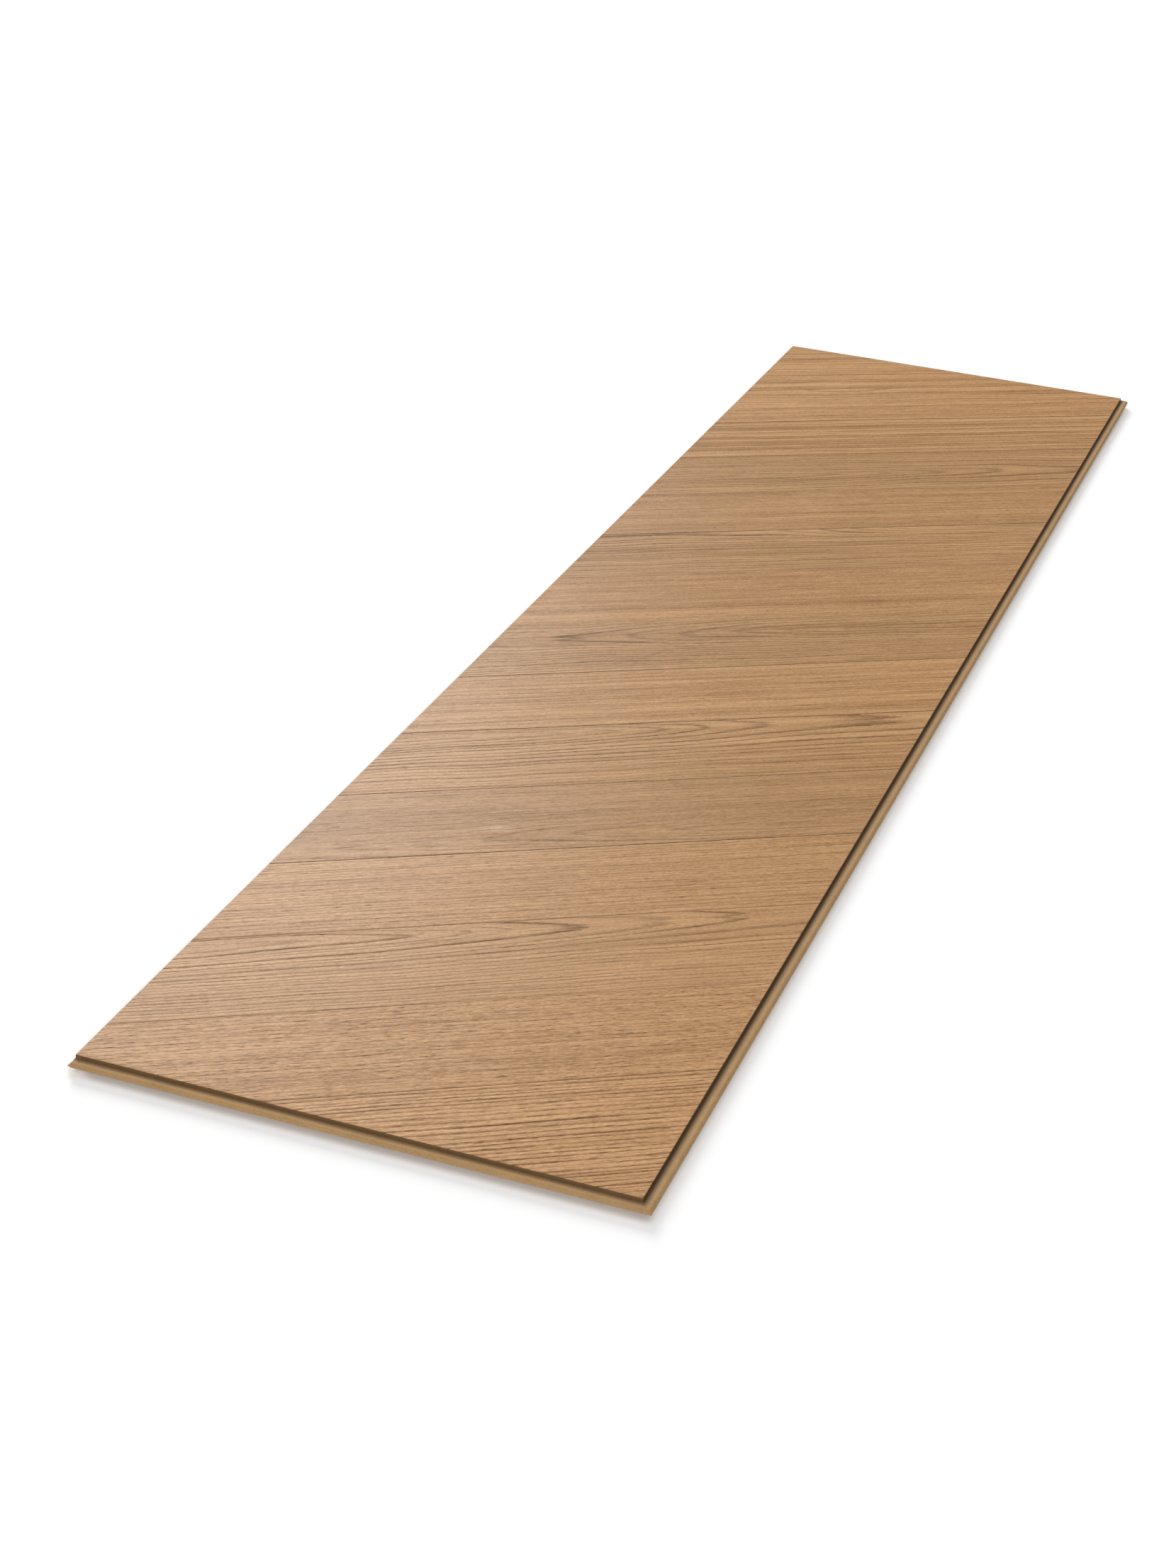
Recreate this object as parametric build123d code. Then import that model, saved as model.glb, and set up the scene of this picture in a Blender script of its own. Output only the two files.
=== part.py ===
"""Laminate floor plank with click edges: a fibreboard core under a thin printed oak face.

Millimetres. +X points across the plank to the long tongue, +Y along it away from the end tongue,
and +Z up out of the face. The origin is the middle of the plank's box, on its underside.
"""
from build123d import *
import os

# Driving dimensions of the plank
FACE_LENGTH = 1286.0
FACE_WIDTH = 293.0
THICKNESS = 8.0
DECOR_THICKNESS = 0.3

# Tongue, the same on the long side and on the near end
TONGUE_DROP = 1.9
TONGUE_REACH = 6.2
NOSE_RADIUS = 1.9
NOSE_BEVEL_WIDTH = 0.4
NOSE_BEVEL_HEIGHT = 0.3
HEEL_OUTER_REACH = 2.6
HEEL_INNER_REACH = 1.45
LOCK_FACE_REACH = 0.6

# Lower lip of the groove, the same on the long side and on the far end
LIP_REACH = 3.0
LIP_FLOOR_THICKNESS = 2.2
LOCK_HEIGHT = 1.0
LIP_BEVEL = 0.6

# Room left between a tongue and a neighbour's groove, and past the end of a neighbour's lip
JOINT_GAP = 0.1
LIP_END_GAP = 0.2

# Levels and places that follow from the sizes above
CORE_TOP = THICKNESS - DECOR_THICKNESS
TONGUE_TOP = THICKNESS - TONGUE_DROP
NOSE_CENTRE_REACH = TONGUE_REACH - NOSE_RADIUS
NOSE_CENTRE_LEVEL = TONGUE_TOP - NOSE_RADIUS
HEEL_LEVEL = LIP_FLOOR_THICKNESS + JOINT_GAP
BUMP_TOP = LIP_FLOOR_THICKNESS + LOCK_HEIGHT
RECESS_ROOF = BUMP_TOP + JOINT_GAP
RECESS_DEPTH = LIP_REACH + LIP_END_GAP
FACE_SHIFT = (TONGUE_REACH - LIP_REACH) / 2
FACE_CENTRE = (-FACE_SHIFT, FACE_SHIFT)

# Directions across the two pairs of edges, from the groove to the tongue
ACROSS_WIDTH = Plane(origin=(0, 0, 0), x_dir=(1, 0, 0), z_dir=(0, -1, 0))
ACROSS_LENGTH = Plane(origin=(0, 0, 0), x_dir=(0, -1, 0), z_dir=(-1, 0, 0))


def nose_arc(edge, gap):
    """Quarter round of a tongue's nose, or of the groove around it at the given gap."""
    centre = (edge + NOSE_CENTRE_REACH, NOSE_CENTRE_LEVEL)
    return CenterArc(centre, NOSE_RADIUS + gap, 90, -90)


def tongue_underside(edge, gap):
    """Corners from the nose's tip, under the tongue and its heel, up the locking face to the recess."""
    tip_reach = edge + TONGUE_REACH + gap
    bevel_level = NOSE_CENTRE_LEVEL - NOSE_BEVEL_HEIGHT - gap
    return [
        (tip_reach, NOSE_CENTRE_LEVEL),
        (tip_reach - NOSE_BEVEL_WIDTH - gap, bevel_level),
        (edge + HEEL_OUTER_REACH, HEEL_LEVEL - gap),
        (edge + HEEL_INNER_REACH - gap, HEEL_LEVEL - gap),
        (edge + LOCK_FACE_REACH - gap, RECESS_ROOF - gap),
    ]


def plank_section(face_span):
    """Section of the core between two opposite edges: the groove on one, the tongue on the other."""
    groove_edge = -face_span / 2
    tongue_edge = face_span / 2
    lip_end = groove_edge - LIP_REACH
    recess_end = tongue_edge - RECESS_DEPTH
    lip_bottom = [
        (lip_end + LIP_BEVEL, BUMP_TOP),
        (lip_end, BUMP_TOP - LIP_BEVEL),
        (lip_end, 0),
        (recess_end, 0),
        (recess_end, RECESS_ROOF),
    ]
    tongue_corners = tongue_underside(tongue_edge, 0)
    groove_corners = tongue_underside(groove_edge, JOINT_GAP)
    with BuildSketch() as section:
        with BuildLine():
            tongue_nose = nose_arc(tongue_edge, 0)
            groove_back = nose_arc(groove_edge, JOINT_GAP)
            Polyline(
                groove_back @ 0,
                (groove_edge, TONGUE_TOP + JOINT_GAP),
                (groove_edge, CORE_TOP),
                (tongue_edge, CORE_TOP),
                (tongue_edge, TONGUE_TOP),
                tongue_nose @ 0,
            )
            Polyline(*groove_corners, *lip_bottom, *reversed(tongue_corners))
        make_face()
    return section.sketch


def tongue_section(face_span):
    """Section of the tongue alone, from the face's edge out to the nose."""
    edge = face_span / 2
    with BuildSketch() as section:
        with BuildLine():
            nose = nose_arc(edge, 0)
            Polyline(
                *tongue_underside(edge, 0),
                (edge, RECESS_ROOF),
                (edge, TONGUE_TOP),
                nose @ 0,
            )
        make_face()
    return section.sketch


def long_bar(section, plane, length):
    """A section stood on its plane and drawn out evenly to both sides of it."""
    return extrude(plane * section, amount=length / 2, both=True)


def hdf_core():
    """Fibreboard core: milled along both pairs of edges, with both tongues whole up to the face's corners."""
    overall_length = 2 * (FACE_LENGTH + TONGUE_REACH)
    overall_width = 2 * (FACE_WIDTH + TONGUE_REACH)
    long_edges = long_bar(plank_section(FACE_WIDTH), ACROSS_WIDTH, overall_length)
    end_edges = long_bar(plank_section(FACE_LENGTH), ACROSS_LENGTH, overall_width)
    long_tongue = long_bar(tongue_section(FACE_WIDTH), ACROSS_WIDTH, FACE_LENGTH)
    end_tongue = long_bar(tongue_section(FACE_LENGTH), ACROSS_LENGTH, FACE_WIDTH)
    return (long_edges & end_edges) + long_tongue + end_tongue


def decor_layer():
    """Printed face: a thin sheet over the core that ends flush with the core's upper edges."""
    sheet = Box(FACE_WIDTH, FACE_LENGTH, DECOR_THICKNESS, align=(Align.CENTER, Align.CENTER, Align.MIN))
    return Pos(0, 0, CORE_TOP) * sheet


PIECES = {
    "hdf_core": hdf_core,
    "decor_layer": decor_layer,
}

os.makedirs("parts", exist_ok=True)
for name, make_piece in PIECES.items():
    export_step(Pos(*FACE_CENTRE) * make_piece(), f"parts/{name}.step")
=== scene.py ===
"""Looks of a laminate floor plank: a printed oak face of slanting strips on a milled fibreboard core."""
import math
from collections import namedtuple

import bpy
import numpy as np
from mathutils import Matrix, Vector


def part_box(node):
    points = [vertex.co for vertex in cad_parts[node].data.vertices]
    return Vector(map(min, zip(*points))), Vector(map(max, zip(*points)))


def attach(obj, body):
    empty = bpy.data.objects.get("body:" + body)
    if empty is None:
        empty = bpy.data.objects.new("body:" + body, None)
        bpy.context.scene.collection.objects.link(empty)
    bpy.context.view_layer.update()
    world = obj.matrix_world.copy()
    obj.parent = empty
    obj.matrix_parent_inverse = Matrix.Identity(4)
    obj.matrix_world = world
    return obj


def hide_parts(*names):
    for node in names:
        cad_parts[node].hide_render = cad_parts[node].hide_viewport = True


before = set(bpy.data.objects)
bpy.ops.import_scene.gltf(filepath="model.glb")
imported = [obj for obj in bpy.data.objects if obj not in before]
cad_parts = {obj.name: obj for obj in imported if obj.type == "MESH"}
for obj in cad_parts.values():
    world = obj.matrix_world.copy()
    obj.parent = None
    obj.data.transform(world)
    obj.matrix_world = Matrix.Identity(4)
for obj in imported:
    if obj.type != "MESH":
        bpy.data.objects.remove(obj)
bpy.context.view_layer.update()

bl_info = {
    "name": "Laminate Floor Plank",
    "version": (1, 0, 0),
    "blender": (4, 5, 0),
    "location": "View3D > Sidebar > Plank",
    "description": "Dresses a click plank with its oak face, fibreboard core and a plain studio",
    "category": "Object",
}

MM = 0.001

# Boxes of the two pieces and what follows from them, in millimetres
FACE_LOW, FACE_HIGH = (np.array(corner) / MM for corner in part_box("decor_layer"))
CORE_LOW, CORE_HIGH = (np.array(corner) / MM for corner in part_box("hdf_core"))
FACE_LEFT, FACE_NEAR, FACE_UNDERSIDE = FACE_LOW
FACE_RIGHT, FACE_FAR, FACE_TOP = FACE_HIGH
FACE_WIDTH = FACE_RIGHT - FACE_LEFT
FACE_LENGTH = FACE_FAR - FACE_NEAR
FACE_MIDDLE = (FACE_LOW + FACE_HIGH) / 2
TONGUE_REACH = CORE_HIGH[0] - FACE_RIGHT
LIP_REACH = FACE_LEFT - CORE_LOW[0]

# One strip of the printed face, read from the far end to the near one.
# axis: where the log's middle lies under the strip, in strip widths from its far joint.
# spread: how far to each side of it the rings arch, in millimetres. Past that they run straight.
# crest: where along the strip the arches start from, with the left edge at 0 and the right edge at 1.
# tilt: how steeply the log's middle dips along the strip. Above 0 the arches point to the right edge.
# bow: how steeply it dips both ways from the crest, which closes the rings into ovals.
# rings: mean width of one year's ring, in millimetres.
# wave: how far the grain wanders, against the common wander.
# lines, pores, flecks: strength of the ring lines, of the open pores and of the pale ray flecks.
# lean: how far the ray flecks run across the grain for each millimetre along it.
# streaky: how far the wood between the lines swings between pale and brown, against the common swing.
# grey: strength of the grey cast.
# light: brightness of the strip against the mean.
# joint: darkness of the joint on its near side. Above 1 it is wider too.
Strip = namedtuple("Strip", (
    "axis", "spread", "crest", "tilt", "bow", "rings", "wave", "lines",
    "pores", "flecks", "lean", "streaky", "grey", "light", "joint",
))
STRIPS = [
    Strip(-1.6, 20, 0.5, 0.0, 0.0, 3.6, 0.3, 0.60, 0.7, 0.1, 0.5, 0.75, 0.00, 0.90, 0.30),
    Strip(-1.9, 20, 0.5, 0.0, 0.0, 4.2, 0.2, 0.65, 0.7, 0.1, 0.5, 0.70, 0.05, 0.97, 0.90),
    Strip(-0.03, 14, 0.33, 0.0, 0.38, 3.6, 0.5, 0.95, 0.7, 0.2, 0.5, 0.60, 0.05, 0.96, 1.30),
    Strip(2.6, 20, 0.5, 0.0, 0.0, 5.5, 0.25, 0.90, 0.7, 0.1, 0.5, 0.85, 0.00, 0.90, 1.15),
    Strip(0.57, 20, 0.5, 0.110, 0.0, 3.3, 0.5, 1.05, 0.7, 0.1, 0.5, 0.60, 0.20, 0.88, 0.50),
    Strip(-2.2, 20, 0.5, 0.0, 0.0, 3.6, 0.3, 0.30, 0.8, 0.8, -0.4, 0.55, 0.05, 0.84, 1.30),
    Strip(-0.02, 20, 0.70, -0.250, 0.0, 2.9, 0.6, 1.15, 0.7, 0.1, 0.5, 0.75, 0.20, 0.91, 0.40),
    Strip(2.8, 20, 0.5, 0.0, 0.0, 4.0, 0.3, 0.35, 0.8, 1.0, 0.8, 0.50, 0.00, 0.87, 0.30),
    Strip(0.30, 20, 0.5, -0.180, 0.0, 3.4, 0.5, 1.15, 0.8, 0.1, 0.5, 0.55, 0.20, 0.89, 1.30),
    Strip(-1.8, 20, 0.5, 0.0, 0.0, 4.4, 0.3, 0.40, 0.7, 0.5, 0.6, 0.50, 0.00, 0.92, 1.25),
    Strip(0.12, 22, 0.5, 0.160, 0.0, 3.8, 0.4, 1.20, 0.8, 0.1, 0.5, 0.60, 0.15, 0.94, 0.95),
    Strip(0.80, 20, 0.5, -0.115, 0.0, 3.2, 0.5, 0.65, 0.7, 0.1, 0.5, 0.35, 0.15, 0.84, 1.20),
    Strip(-2.4, 20, 0.5, 0.0, 0.0, 3.2, 0.2, 0.45, 0.9, 0.2, 0.5, 0.40, 0.05, 0.93, 0.60),
    Strip(0.12, 22, 0.5, 0.150, 0.0, 3.2, 0.3, 1.20, 0.8, 0.1, 0.5, 0.35, 0.15, 0.97, 0.50),
    Strip(-2.0, 20, 0.5, 0.0, 0.0, 3.0, 0.3, 0.40, 1.4, 0.7, -0.5, 0.30, 0.00, 0.96, 0.75),
    Strip(-1.5, 20, 0.5, 0.0, 0.0, 3.5, 0.15, 1.20, 1.1, 0.1, 0.5, 0.25, 0.00, 1.01, 0.60),
    Strip(-1.5, 20, 0.5, 0.0, 0.0, 3.5, 0.15, 1.20, 1.1, 0.1, 0.5, 0.25, 0.00, 1.00, 0.60),
]

# Wander of the grain: how many waves add up to it, how long they are along and across it, and how high,
# in millimetres
WAVES = 14
WAVE_LENGTHS = (70, 320)
WAVE_WIDTHS = (45, 200)
WAVE_HEIGHTS = (0.35, 0.9)

# Narrowest and widest ring, against the mean
RING_WIDTHS = (0.55, 1.45)

# Round of an arch's tip and of the crest where ovals close, in millimetres
TIP_ROUND = 3.0
CREST_ROUND = 20.0

# How much wider the rings are at the log's middle, and how far from it that fades, in millimetres
HEART_WIDTH = 1.0
HEART_REACH = 15.0

# Strength of the ring lines over the log's middle and where they run straight beside it
ARCH_SHARE = 1.15
STRAIGHT_SHARE = 0.55

# How much fainter a ring line is where it turns over the log's middle,
# and how far from it that fades, in millimetres
TIP_FADE = 0.45
TIP_REACH = 4.0

# Shares of a year: where its grey shade and its ring line start, where both are darkest and the face is
# pressed in deepest, and where they stop
SHADE_START = 0.2
LINE_START = 0.52
DARKEST = 0.85
LINE_STOP = 0.97

# Steps of the face's mesh: between its rows, in millimetres, and how many to a strip between its columns
ROW_STEP = 7.0
STRIP_STEPS = 112

# How far from a joint, in halves of its width, and from the rim, in millimetres, the pressed relief is full,
# and the most of a year that it may shift from one row of the mesh to the next
CALM_JOINT = 3
CALM_RIM = 2
RELIEF_SHIFT = 0.3

# Flats in the round of a tongue's nose, and the least angle of an edge that looks sharp, in degrees
NOSE_STEPS = 12
SHARP_ANGLE = 20

# How much wider than a point the dark bottom of a joint is, so that it shows
JOINT_SPREAD = 2.8

# Darkness of the face's own rim, as of a joint
RIM_DARKNESS = 0.65

# What the mesh tells the material about each strip: three numbers to a face attribute
STRIP_TABLES = {
    "strip_place": ("start", "far_joint", "seed"),
    "strip_marks": ("pores", "flecks", "lean"),
    "strip_tone": ("grey", "light", "streaky"),
}

# How far apart the patterns of two neighbouring strips are taken, so that no two strips are alike
SEED_STEP = 7.31

# Patterns of the print: how long a spot is along the grain and how wide across it, in millimetres,
# how many octaves of finer spots it has, and how strong each is against the one before.
# Pores are drawn wider than real ones, so that they show.
Pattern = namedtuple("Pattern", "long wide octaves roughness")
PATTERNS = {
    "teeth": Pattern(5, 0.8, 2, 0.5),
    "pores": Pattern(6, 0.7, 2, 0.6),
    "speckle": Pattern(2.2, 0.8, 1, 0.5),
    "fibres": Pattern(45, 1.5, 3, 0.6),
    "streaks": Pattern(600, 5, 2, 0.5),
    "clouds": Pattern(110, 8, 2, 0.5),
    "patches": Pattern(420, 22, 2, 0.5),
    "rays": Pattern(160, 14, 1, 0.5),
    "breaks": Pattern(25, 5, 1, 0.5),
}

# Mean share of brown in the wood, how far bands and broad patterns swing it in a streaky strip,
# and how far fine patterns swing it in every strip
BROWN_SHARE = 0.34
BAND_SWING = 0.20
BROAD_SWINGS = {"streaks": 0.44, "clouds": 0.10, "patches": 0.28}
FINE_SWINGS = {"fibres": 0.28, "speckle": 0.26}

# How far fine teeth shift a ring line, and how far the pattern of good and bad years moves on, in one year
TEETH_SHIFT = 0.30
BAND_STEP = 0.45

# Values of a pattern: those between which nearly all lie, where fibres fade and where they crowd a ring line,
# and where pores and flecks start and where they are full
LOW, HIGH = 0.25, 0.75
FIBRES_FADE, FIBRES_CROWD = 0.36, 0.62
PORE_START, PORE_FULL = 0.52, 0.68
FLECK_START, FLECK_FULL = 0.46, 0.58

# How much of its own colour a mark shows where it is full
LINE_STRENGTH = 0.85
FLECK_STRENGTH = 0.36

# Strength of the faintest year's line against the strongest, and of a line where its fibres fade or crowd
FAINTEST_YEAR = 0.4
FADED_LINE, CROWDED_LINE = 0.5, 1.15

# Strength of pores in plain wood, and how much stronger they are in a full ring line
PLAIN_PORES = 0.38
LINE_PORES = 0.9

# Ray flecks: half the step of the pattern between two level lines, and where beside a line they end
RAY_STEP = 0.09
RAY_WIDTH = 0.014

# Satin of the sheet: how strongly and how dully it mirrors, and how much duller marks and joints are
SHEET_SPECULAR = 0.057
SHEET_ROUGHNESS = 0.36
DULLER = {"line": 0.12, "pores": 0.15, "seam": 0.45}

# Fine relief of the sheet: its depth in millimetres, and how far marks sink in and fibres stand out of it
RELIEF_DEPTH = 0.16
RELIEF_STRENGTH = 0.9
LINE_SINK = 0.5
PORE_SINK = 0.8
FIBRE_RISE = 0.6

# Fibreboard: size of its fibres and of its slow changes of tone, in millimetres, where in their pattern
# fibres start and are full and how much of their colour they show, and the darkest and the lightest tone
FIBRE_SIZE = 0.9
TONE_SIZE = 14
FIBRE_START, FIBRE_FULL, FIBRE_STRENGTH = 0.45, 0.75, 0.6
DARK_TONE, LIGHT_TONE = 0.94, 1.06

# How dull the fibreboard is, and the depth of its fine relief, in millimetres, and its strength
BOARD_ROUGHNESS = 0.75
BOARD_RELIEF, BOARD_RELIEF_STRENGTH = 0.05, 0.6

# Waxed step and painted shadow of the step on the tongue, in millimetres: how far below the tongue's top the
# dark is full and where it ends, how far out on the tongue it is full, and how far from the near end it is
# still as dark as on the long side
WAX_AND_SHADOW_FULL_DROP, WAX_AND_SHADOW_DROP = 0.05, 0.10
STEP_SHADOW_FULL_REACH = 0.7
NEAR_SHADOW_MARGIN = 0.05

# How high above the underside the backing paper is full and where it ends, in millimetres
PAPER_FULL_RISE, PAPER_RISE = 0.02, 0.05


def linear(hex_colour):
    """An sRGB colour such as "#C0A080" as linear red, green and blue."""
    srgb = np.array([int(hex_colour[i:i + 2], 16) for i in (1, 3, 5)]) / 255
    return tuple(np.where(srgb <= 0.04045, srgb / 12.92, ((srgb + 0.055) / 1.055) ** 2.4).tolist())


def opaque(colour):
    """A colour property as the four numbers that a colour socket takes."""
    return (*colour, 1.0)


def length(name, description, millimetres):
    """A size property, shown as a length and stored in metres."""
    return bpy.props.FloatProperty(
        name=name, description=description, default=millimetres * MM, unit="LENGTH", precision=5
    )


def colour(name, description, hex_colour):
    """A colour property."""
    return bpy.props.FloatVectorProperty(
        name=name, description=description, default=linear(hex_colour), subtype="COLOR", min=0, max=1
    )


def amount(name, description, value):
    """A plain number property."""
    return bpy.props.FloatProperty(name=name, description=description, default=value)


class DecorSettings(bpy.types.PropertyGroup):
    """Sizes and colours of the printed oak face."""

    first_joint: length("First joint", "From the far left corner to it, along the left edge", 47.15)
    pitch: length("Strip pitch", "Between two joints, along the left edge", 92.93)
    slant: length("Slant", "How far a joint runs towards the far end on its way to the right edge", 182.7)
    joint_width: length("Joint width", "Width of the groove between two strips", 1.2)
    joint_depth: length("Joint depth", "Depth of the groove between two strips", 0.15)
    relief: length("Relief", "Depth of a ring line of strength 1 pressed into the face", 0.09)
    rim: length("Rim", "Width of the bevel round the face", 0.3)
    rim_drop: length("Rim drop", "Height of the bevel round the face", 0.12)
    pale_wood: colour("Pale wood", "Palest wood between the ring lines", "#D6A777")
    brown_wood: colour("Brown wood", "Brownest wood between the ring lines", "#966B3E")
    grey_wood: colour("Grey wood", "Greyer wood of some strips", "#A58B68")
    ring_line: colour("Ring lines", "Dark line at the end of each year's ring", "#6C4821")
    pore: colour("Pores", "Open pores along the grain", "#5C3C1C")
    fleck: colour("Ray flecks", "Pale flecks across the grain", "#DCB68B")
    joint: colour("Joints", "Bottom of the grooves and edge of the sheet", "#3E2A1A")


class CoreSettings(bpy.types.PropertyGroup):
    """Sizes and colours of the fibreboard core."""

    tongue_drop: length("Tongue drop", "From the face down to the tongue's top", 1.9)
    nose_radius: length("Nose radius", "Round of the tongue's nose", 1.9)
    bevel_width: length("Nose bevel width", "Bevel under the nose, across", 0.4)
    bevel_height: length("Nose bevel height", "Bevel under the nose, upright", 0.3)
    heel_outer: length("Heel, outer", "Reach of the heel's outer corner", 2.6)
    heel_inner: length("Heel, inner", "Reach of the heel's inner corner", 1.45)
    lock_reach: length("Locking face", "Reach of the locking face at the recess", 0.6)
    lip_floor: length("Lip floor", "Thickness of the lower lip at its thinnest", 2.2)
    lock_height: length("Lock height", "Height of the lip's bump above its floor", 1.0)
    lip_bevel: length("Lip bevel", "Bevel on the end of the lip", 0.6)
    joint_gap: length("Joint gap", "Room between a tongue and its groove", 0.1)
    lip_end_gap: length("Lip end gap", "Room past the end of a neighbour's lip", 0.2)
    # Painted shadow: past the face the dark runs out on the tongue, where the step's shadow falls
    step_shadow_reach: length("Wax reach", "How far the wax on the step runs out on the tongue", 3.4)
    # Painted light: the dark is weaker at the near end, where more light falls on that side
    near_wax_and_shadow: amount("Wax at the near end", "Strength of the wax there against the long side", 0.75)
    board: colour("Fibreboard", "Milled fibreboard", "#B08B5C")
    fibre: colour("Dark fibres", "Darker fibres in the board", "#8A6638")
    # Colour of the waxed step, also painted on the tongue as the step's shadow
    wax_and_step_shadow: colour("Sealed step", "Waxed edge under the face", "#523B22")
    paper: colour("Backing paper", "Balancing paper on the underside", "#B7A586")


class StageSettings(bpy.types.PropertyGroup):
    """Camera, light and floor."""

    lens: amount("Lens", "Focal length on a 36 mm sensor", 62.84)
    floor: colour("Floor", "Pale floor under the plank", "#FAFAFA")
    floor_glow: amount("Floor glow", "How much whiter the floor looks than its light makes it", 0.1)
    far_glow: amount("Far glow", "The same far from the plank, where less light falls", 0.6)
    key: amount("Key light", "Power of the soft light behind the left edge, in watts", 300.0)
    fill: amount("Fill light", "Power of the soft light in front of the near end, in watts", 150.0)
    dome: amount("Dome light", "Brightness of the studio's ceiling", 1.2)


def node(tree, kind, sockets=None, output=0, **settings):
    """Adds one node, sets its settings, fills or links its inputs, and returns one of its outputs."""
    made = tree.nodes.new(kind)
    for name, value in settings.items():
        setattr(made, name, value)
    for key, value in (sockets or {}).items():
        if isinstance(value, bpy.types.NodeSocket):
            tree.links.new(value, made.inputs[key])
        else:
            made.inputs[key].default_value = value
    return made.outputs[output]


MATH = "ShaderNodeMath"
VECTOR = "ShaderNodeVectorMath"
NOISE = "ShaderNodeTexNoise"
MIX = "ShaderNodeMix"
RANGE = "ShaderNodeMapRange"
COMBINE = "ShaderNodeCombineXYZ"
SEPARATE = "ShaderNodeSeparateXYZ"
ATTRIBUTE = "ShaderNodeAttribute"

# Sockets and settings of a Mix node in colour mode
MIX_FACTOR, MIX_A, MIX_B = 0, 6, 7
OF_COLOURS = {"output": 2, "data_type": "RGBA"}

# Setting of a Map Range node with soft ends
SOFT = {"interpolation_type": "SMOOTHSTEP"}


def new_material(name):
    """An empty material with a Principled shader on its output."""
    material = bpy.data.materials.new(name)
    material.use_nodes = True
    tree = material.node_tree
    tree.nodes.clear()
    surface = tree.nodes.new("ShaderNodeOutputMaterial")
    shader = tree.nodes.new("ShaderNodeBsdfPrincipled")
    tree.links.new(shader.outputs["BSDF"], surface.inputs["Surface"])
    return material, tree, shader


class StripLayout:
    """Where the slanting joints run on the face, in millimetres.

    A point of the face lies a from the left edge and b from the far end. Its run s is b plus the
    slant's share a / width, so s is the same all along a joint. The grain runs along the joints.
    """

    def __init__(self, settings):
        self.pitch = settings.pitch / MM
        self.slant = settings.slant / MM
        self.joints = settings.first_joint / MM + self.pitch * np.arange(len(STRIPS) - 1)
        self.starts = np.append(self.joints[0] - self.pitch, self.joints)
        self.turn = math.atan2(self.slant, FACE_WIDTH)
        self.grain = np.array([math.cos(self.turn), math.sin(self.turn)])
        self.cross = np.array([math.sin(self.turn), -math.cos(self.turn)])
        self.strip_width = self.pitch * math.cos(self.turn)

    def place(self, a, s):
        """Frame x and y of the point a from the left edge on the run s."""
        return np.stack([FACE_LEFT + a, FACE_FAR - s + self.slant * a / FACE_WIDTH], -1)

    def strip_tables(self):
        """Per strip: its row's values, where its own grain coordinates start, and a seed for its patterns."""
        columns = dict(zip(Strip._fields, np.array(STRIPS).T))
        middles = self.starts + self.pitch / 2
        columns["seed"] = np.arange(len(STRIPS)) * SEED_STEP
        columns["far_joint"] = self.place(np.zeros(len(STRIPS)), self.starts) @ self.cross
        columns["start"] = self.place(columns["crest"] * FACE_WIDTH, middles) @ self.grain
        return columns


def wander(along, across):
    """Slow sideways wander of the grain in millimetres: a sum of long sine waves, always the same ones."""
    draw = np.random.default_rng(11)
    wave_along = 2 * np.pi / draw.uniform(*WAVE_LENGTHS, WAVES)
    wave_across = 2 * np.pi / draw.uniform(*WAVE_WIDTHS, WAVES) * draw.choice([-1, 1], WAVES)
    phase = draw.uniform(0, 2 * np.pi, WAVES)
    height = draw.uniform(*WAVE_HEIGHTS, WAVES)
    angle = along[..., None] * wave_along + across[..., None] * wave_across + phase
    return (np.sin(angle) * height).sum(-1)


def years_passed(distance, ring_width, heart, seed):
    """Rings up to a distance: each has its own width, and in an arched strip those at the heart are wider."""
    draw = np.random.default_rng(seed)
    years = int(np.ptp(distance) / ring_width * 1.5) + 8
    widths = ring_width * draw.uniform(*RING_WIDTHS, years)
    widths *= 1 + heart * HEART_WIDTH * np.exp(-np.arange(years) * ring_width / HEART_REACH)
    return np.interp(distance - distance.min(), np.cumsum(widths) - widths[0], np.arange(years))


def ring_field(layout, along, across, strip):
    """Years passed from the log's middle to each point of the face, and the strength of ring lines there.

    Far from the log's middle the rings run straight along the strip, and the distance is the sideways offset
    with the grain's wander in it. Near it the log dips along the strip, which adds to the distance: the dip
    levels off at the spread, as a hyperbolic tangent does, and fades sideways, as an exponential does. Rings
    then turn over the log's middle in arches, whose tips are rounded by a hypotenuse. Lines are strongest
    beside the log's middle, fainter right over it and faintest far from it.
    """
    table = {name: values[strip] for name, values in layout.strip_tables().items()}
    run = along - table["start"]
    aside = across - table["far_joint"] + table["wave"] * wander(along, across)
    aside = aside - table["axis"] * layout.strip_width
    dip = table["tilt"] * run + table["bow"] * np.hypot(run, CREST_ROUND)
    near = np.exp(-np.abs(aside) / table["spread"])
    distance = np.hypot(aside, TIP_ROUND) + table["spread"] * np.tanh(dip / table["spread"]) * near
    arched = (table["tilt"] != 0) | (table["bow"] != 0)
    arch_share = STRAIGHT_SHARE + (ARCH_SHARE - STRAIGHT_SHARE) * near
    arch_share = arch_share * (1 - TIP_FADE * np.exp(-(aside / TIP_REACH) ** 2))
    lines = table["lines"] * np.where(arched, arch_share, 1)
    years = np.zeros_like(distance)
    for number, one in enumerate(STRIPS):
        here = strip == number
        if here.any():
            years[here] = years_passed(distance[here], one.rings, one.tilt != 0 or one.bow != 0, number)
    return years, lines


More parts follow.
